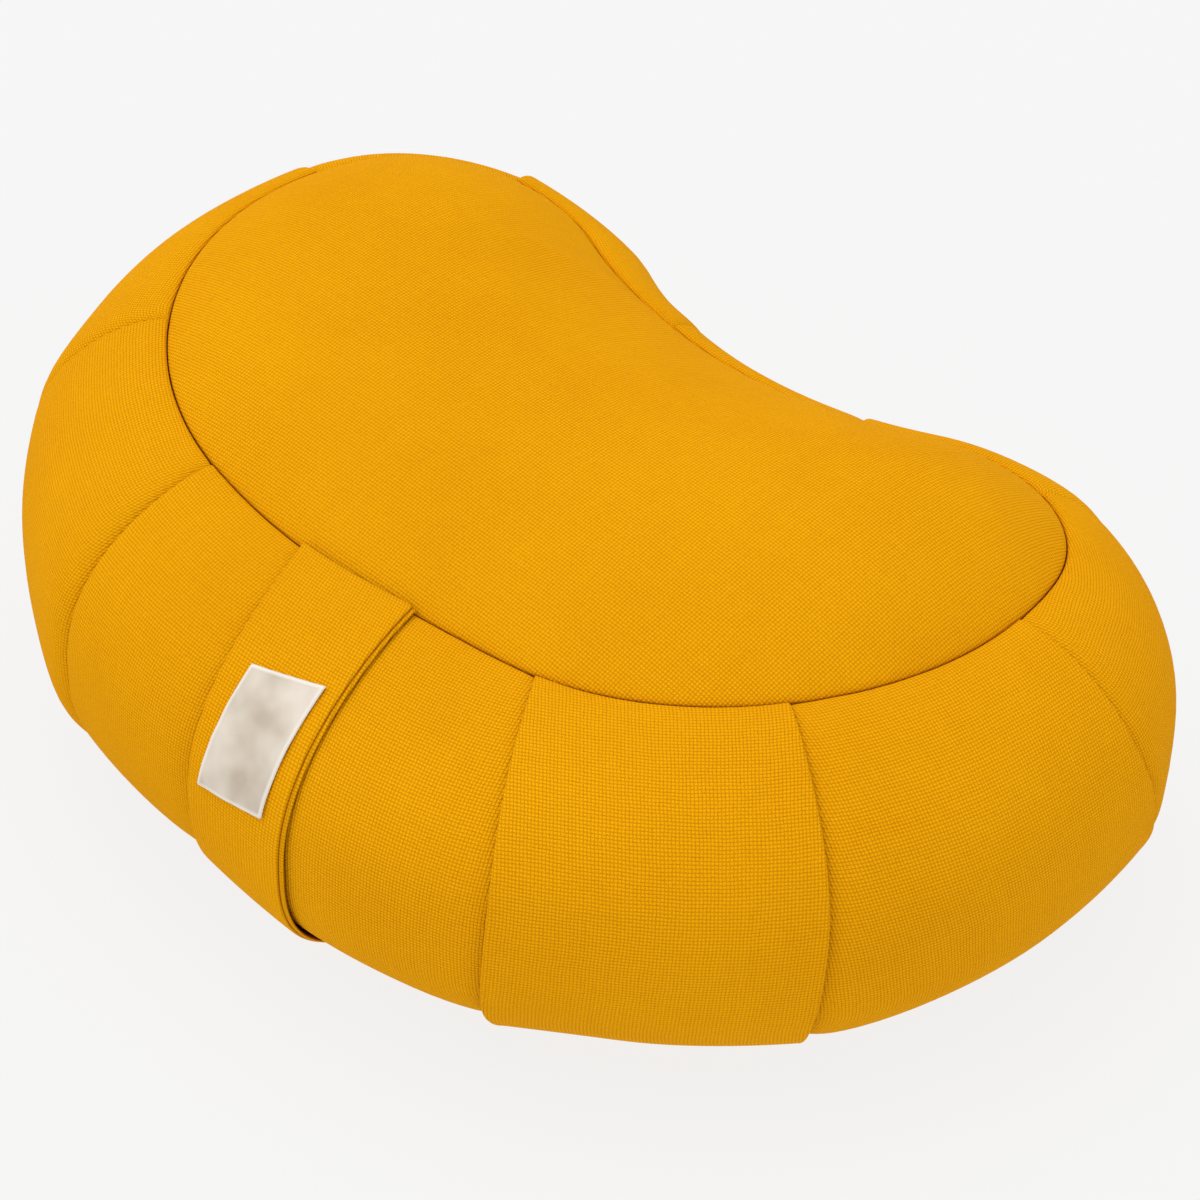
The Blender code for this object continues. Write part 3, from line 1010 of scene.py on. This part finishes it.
@dataclass
class BasePanel:
    """The flat base panel that the cushion rests on."""

    seam: CrescentSeam
    band: SideBand
    flat_from: float = 0.26
    cloth: float = 0.0012
    clear: float = 0.0006
    ring_count: int = 14
    pair_count: int = 60
    tip_count: int = 40

    def place(self, distance: np.ndarray, inward: np.ndarray) -> np.ndarray:
        """Points on the panel's underside, from the base seam (0) to the spine (1)."""
        plan = self.seam.at(distance)[0]
        middle = self.seam.spine_under(plan)
        plan = np.repeat(plan[None], len(inward), axis=0)
        share = inward[..., None]
        spot = plan * (1 - share) + middle * share
        rim = np.maximum(0.0, 1 - inward / self.flat_from) ** 2
        height = self.band.base_height * rim
        return np.concatenate((spot, height[..., None]), axis=-1)

    def over_rows(self, distance: np.ndarray) -> np.ndarray:
        """Rows of the filled body that lie close over this panel, from the seam inwards."""
        inward = np.array((0.02, 0.05, 0.12, 0.26, 0.6, 0.96))[:, None]
        inward = np.repeat(inward, len(distance), axis=1)
        points = self.place(distance, inward)
        points[..., 2] += self.cloth + self.clear + 0.0024 * np.exp(-inward / 0.05)
        return points

    def build(self) -> bpy.types.Object:
        """Builds the panel.

        Returns:
            The piece.
        """
        distance = self.seam.facing_pairs(self.pair_count, self.tip_count)
        plan = self.seam.at(distance)[0]
        reach = np.linalg.norm(plan - self.seam.spine_under(plan), axis=-1)
        near = self.band.roll.away[:, None] / reach
        far = np.linspace(0.0, 1.0, self.ring_count + 1)[1:, None]
        inward = np.concatenate((near, near[-1] + (1.0 - near[-1]) * far))
        points = self.place(distance, inward)
        around = np.repeat(distance[None], len(inward), axis=0)
        points[..., 2] += self.band.roll.sunk(inward * reach, around, 9.0)
        points[..., 2] -= points[..., 2].min()
        threads = points[..., :2]
        shape = cloth_grid(points[::-1], threads[::-1], {CREASE_SHADE_MARK: np.zeros(points.shape[:2])})
        weld_open_edges(shape)
        bmesh.ops.recalc_face_normals(shape, faces=shape.faces)
        if sum(face.normal.z * face.calc_area() for face in shape.faces) > 0:
            bmesh.ops.reverse_faces(shape, faces=shape.faces)
        bmesh.ops.solidify(shape, geom=shape.faces[:], thickness=self.cloth)
        piece = finished_piece("floor_panel", shape, CANVAS.material("base_canvas_woven"))
        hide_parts("base_panel")
        return piece


@dataclass
class CarryStrap:
    """The flat carry strap of doubled canvas, sewn in at both seams."""

    band: SideBand
    top_angle: float = 89.0
    base_angle: float = -80.0
    left_top: float = -0.0202
    left_base: float = -0.0062
    right_top: float = 0.0318
    right_base: float = 0.0356
    turn_share: float = 0.45
    turn_power: float = 1.7
    clear: float = 0.0004
    thickness: float = 0.0021
    hold_left: float = -0.0022
    hold_right: float = 0.0026
    ledge: float = 0.0017
    ledge_drop: float = 0.0010
    row_count: int = 90
    column_count: int = 22

    def place(self, down: np.ndarray, across: np.ndarray, height: np.ndarray) -> np.ndarray:
        """Points over the band.

        Args:
            down: 0 at the strap's top end to 1 at its base end.
            across: metres from the strap's left edge.
            height: metres above the strap's back.

        Returns:
            The points.
        """
        angle = self.top_angle + (self.base_angle - self.top_angle) * down
        share = across / self.width(down)
        distance = self.left(down) + across
        held = self.hold_left + (self.hold_right - self.hold_left) * share
        hold = self.clear + held * self.band.openness(angle)
        smooth = self.band.surface(distance, angle)
        return smooth + (hold + height)[..., None] * self.band.outward(distance, angle)

    def turned(self, down: np.ndarray) -> np.ndarray:
        """How much of the strap's turn is left, from 1 at its top to 0 where it runs straight."""
        return np.maximum(0.0, 1 - down / self.turn_share) ** self.turn_power

    def left(self, down: np.ndarray) -> np.ndarray:
        """The left edge's distance round the seam, in metres."""
        return self.left_base + (self.left_top - self.left_base) * self.turned(down)

    def width(self, down: np.ndarray) -> np.ndarray:
        """The strap's width in metres."""
        right = self.right_base + (self.right_top - self.right_base) * self.turned(down)
        return right - self.left(down)

    def section(self, width: float) -> list[tuple[float, float, float]]:
        """The strap's section, from its left edge over its face and back under it.

        Args:
            width: the strap's width in metres.

        Returns:
            Closed (across, height, how deep in a fold, the weight of its painted shade) corners.
        """
        thick = self.thickness
        # Painted shade: the strap's back, its left underside and the crevice under its ledge are darkened.
        inner = [
            (0.0, 0.45 * thick, 0.6), (0.0001, 0.70 * thick, 0.1), (0.0005, 0.90 * thick, 0.0), (0.0011, thick, 0.0),
        ]
        edge = width - self.ledge
        flat = np.linspace(0.0018, edge - 0.0018, self.column_count)
        inner += [(float(at), thick, 0.0) for at in flat]
        inner += [
            (edge - 0.0009, 0.99 * thick, 0.0), (edge - 0.0003, 0.90 * thick, 0.0), (edge, 0.72 * thick, 0.2),
            (edge + 0.0001, thick - self.ledge_drop, 0.9), (edge + 0.0004, thick - self.ledge_drop, 0.3),
            (edge + 0.0010, thick - 0.98 * self.ledge_drop, 0.0), (width - 0.0004, 0.42 * thick, 0.0),
            (width, 0.25 * thick, 0.3), (width - 0.0003, 0.0, 0.9),
        ]
        back = np.linspace(width - 0.002, 0.002, self.column_count)
        return inner + [(float(at), 0.0, 0.9) for at in back] + [(0.0002, 0.1 * thick, 0.9)]

    def build(self) -> bpy.types.Object:
        """Builds the strap.

        Returns:
            The piece.
        """
        down = np.linspace(0.0, 1.0, self.row_count + 1)
        sections = [self.section(float(self.width(share))) for share in down]
        table = np.array([[*section, section[0]] for section in sections])
        downs = np.repeat(down[:, None], table.shape[1], axis=1)
        points = self.place(downs, table[..., 0], table[..., 1])
        climbs = np.linalg.norm(np.diff(points, axis=0), axis=-1).mean(axis=1)
        along = np.concatenate(([0.0], np.cumsum(climbs)))
        threads = np.stack((table[..., 0], np.repeat(along[:, None], table.shape[1], axis=1)), axis=-1)
        shape = cloth_grid(points[::-1], threads[::-1], {CREASE_SHADE_MARK: table[::-1, :, 2]})
        weld_open_edges(shape)
        close_openings(shape)
        bmesh.ops.recalc_face_normals(shape, faces=shape.faces)
        piece = finished_piece("flat_strap", shape, CANVAS.material("strap_canvas_woven"))
        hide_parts("carry_strap")
        return piece


@dataclass(frozen=True)
class PatchFinish:
    """Smooth pale leather-look patch with a paler sewn rim."""

    face: tuple[float, float, float] = (0.72, 0.64, 0.54)
    worn: tuple[float, float, float] = (0.50, 0.42, 0.33)
    rim: tuple[float, float, float] = (0.86, 0.82, 0.74)
    roughness: float = 0.45

    def material(self, name: str) -> bpy.types.Material:
        """Makes the patch's finish.

        Args:
            name: the material's name.

        Returns:
            The material.
        """
        material, wiring, shader = new_material(name)
        place = wiring.add("TexCoord", {}).outputs["Object"]
        rim = wiring.add("Attribute", {}, attribute_name=RIM).outputs["Fac"]
        cloud = wiring.add("MapRange", {0: wiring.noise(place, 60.0, 2.0), 1: 0.35, 2: 0.7}).outputs[0]
        face = wiring.colour(cloud, (*self.face, 1.0), (*self.worn, 1.0))
        wiring.set(shader.inputs["Base Color"], wiring.colour(rim, face, (*self.rim, 1.0)))
        wiring.set(shader.inputs["Roughness"], self.roughness)
        grain = wiring.noise(place, 1400.0, 2.0)
        bump = wiring.add("Bump", {"Height": grain, "Distance": 0.00006, "Strength": 1.0})
        wiring.set(shader.inputs["Normal"], bump.outputs[0])
        return material


@dataclass
class StrapPatch:
    """The small bare patch sewn on the strap."""

    strap: CarryStrap
    corners: tuple[tuple[float, float], ...] = ((46.0, 0.237), (51.0, 0.849), (8.0, 0.146), (12.0, 0.797))
    clear: float = 0.0002
    thickness: float = 0.0011
    rim_width: float = 0.0011
    rim_height: float = 0.0003
    wrinkle: float = 0.00028
    row_count: int = 56
    column_count: int = 36

    def place(self, down: np.ndarray, across: np.ndarray, height: np.ndarray) -> np.ndarray:
        """Points on the strap by shares of the patch's own height and width, at heights above its back."""
        strap = self.strap
        table = np.array(self.corners)
        upper = table[0] + (table[1] - table[0]) * across[..., None]
        lower = table[2] + (table[3] - table[2]) * across[..., None]
        spot = upper + (lower - upper) * down[..., None]
        along = (strap.top_angle - spot[..., 0]) / (strap.top_angle - strap.base_angle)
        return strap.place(along, spot[..., 1] * strap.width(along), strap.thickness + self.clear + height)

    def build(self) -> bpy.types.Object:
        """Builds the patch.

        Returns:
            The piece.
        """
        down, across = np.meshgrid(
            np.linspace(0.0, 1.0, self.row_count + 1), np.linspace(0.0, 1.0, self.column_count + 1), indexing="ij",
        )
        flat = self.place(down, across, np.zeros(down.shape))
        size = (np.linalg.norm(flat[0, -1] - flat[0, 0]), np.linalg.norm(flat[-1, 0] - flat[0, 0]))
        edge = np.minimum(np.minimum(across, 1 - across) * size[0], np.minimum(down, 1 - down) * size[1])
        rim = np.clip(1.5 - edge / self.rim_width, 0.0, 1.0)
        height = self.thickness + self.rim_height * rim - 0.0006 * np.clip(1 - edge / 0.0004, 0.0, 1.0)
        height = height + self.wrinkle * lumps(flat, 130.0, 11.0)
        points = self.place(down, across, height)
        threads = np.stack((across * size[0], -down * size[1]), axis=-1)
        shape = cloth_grid(points[::-1], threads[::-1], {RIM: rim[::-1]})
        bmesh.ops.recalc_face_normals(shape, faces=shape.faces)
        bmesh.ops.solidify(shape, geom=shape.faces[:], thickness=0.0008)
        piece = finished_piece("bare_patch", shape, PatchFinish().material("patch_leather_sewn"))
        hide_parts("strap_patch")
        return piece


@dataclass
class Studio:
    """A plain pale floor, soft light from the upper left, and the camera."""

    seam: CrescentSeam
    image_width: float = 1200.0
    focal_pixels: float = 3422.9
    sensor: float = 36.0
    azimuth: float = 41.587
    elevation: float = 39.208
    roll: float = 2.038
    distance: float = 1.2696
    target: tuple[float, float, float] = (0.0178, 0.0020, 0.07)
    floor_size: float = 14.0
    floor_colour: tuple[float, float, float] = (0.08, 0.08, 0.08)
    floor_glow: float = 0.83
    world_strength: float = 0.86
    key_strength: float = 1.09
    key_from: tuple[float, float, float] = (-0.35, -0.15, 0.92)

    def aim(self) -> tuple[Vector, Matrix]:
        """Where the camera stands and how it is turned."""
        azimuth = math.radians(self.azimuth)
        elevation = math.radians(self.elevation)
        back = Vector((
            math.sin(azimuth) * math.cos(elevation),
            -math.cos(azimuth) * math.cos(elevation),
            math.sin(elevation),
        ))
        right = (-back).cross(Vector((0, 0, 1))).normalized()
        above = right.cross(-back)
        turn = math.radians(self.roll)
        right, above = (
            math.cos(turn) * right + math.sin(turn) * above,
            -math.sin(turn) * right + math.cos(turn) * above,
        )
        middle = Vector((self.seam.front[0], self.seam.front[1] + self.seam.middle_y, 0.0))
        turned = Matrix((right, above, back)).transposed()
        return middle + Vector(self.target) + self.distance * back, turned

    def build(self) -> None:
        """Sets up the floor, the light and the camera."""
        scene = bpy.context.scene
        scene.view_settings.view_transform = "Standard"
        place, turned = self.aim()
        lens = bpy.data.cameras.new("camera")
        lens.sensor_width = self.sensor
        lens.lens = self.focal_pixels / self.image_width * self.sensor
        camera = bpy.data.objects.new("camera", lens)
        camera.matrix_world = Matrix.Translation(place) @ turned.to_4x4()
        scene.collection.objects.link(camera)
        scene.camera = camera
        shape = bmesh.new()
        bmesh.ops.create_grid(shape, x_segments=1, y_segments=1, size=self.floor_size / 2)
        mesh = bpy.data.meshes.new("floor")
        shape.to_mesh(mesh)
        shape.free()
        floor = bpy.data.objects.new("floor", mesh)
        scene.collection.objects.link(floor)
        material, wiring, shader = new_material("pale_floor")
        wiring.set(shader.inputs["Base Color"], (*self.floor_colour, 1.0))
        wiring.set(shader.inputs["Roughness"], 1.0)
        wiring.set(shader.inputs["Specular IOR Level"], 0.0)
        wiring.set(shader.inputs["Emission Color"], (1.0, 1.0, 1.0, 1.0))
        wiring.set(shader.inputs["Emission Strength"], self.floor_glow)
        mesh.materials.append(material)
        world = bpy.data.worlds.new("soft_room")
        world.use_nodes = True
        world.node_tree.nodes["Background"].inputs["Color"].default_value = (1.0, 1.0, 1.0, 1.0)
        world.node_tree.nodes["Background"].inputs["Strength"].default_value = self.world_strength
        scene.world = world
        sun = bpy.data.lights.new("soft_key", "SUN")
        sun.energy = self.key_strength
        sun.angle = math.radians(70)
        key = bpy.data.objects.new("soft_key", sun)
        key.matrix_world = Vector(self.key_from).to_track_quat("Z", "Y").to_matrix().to_4x4()
        scene.collection.objects.link(key)


def main() -> None:
    """Builds the cushion piece by piece, then the studio."""
    logging.basicConfig(level=logging.INFO, format="%(name)s %(message)s")
    seam = CrescentSeam()
    roll = SeamRoll()
    band = SideBand(seam, roll)
    band.build()
    CrownPanel(seam, roll).build()
    BasePanel(seam, band).build()
    strap = CarryStrap(band)
    strap.build()
    StrapPatch(strap).build()
    Studio(seam).build()


if __name__ == "__main__":
    main()
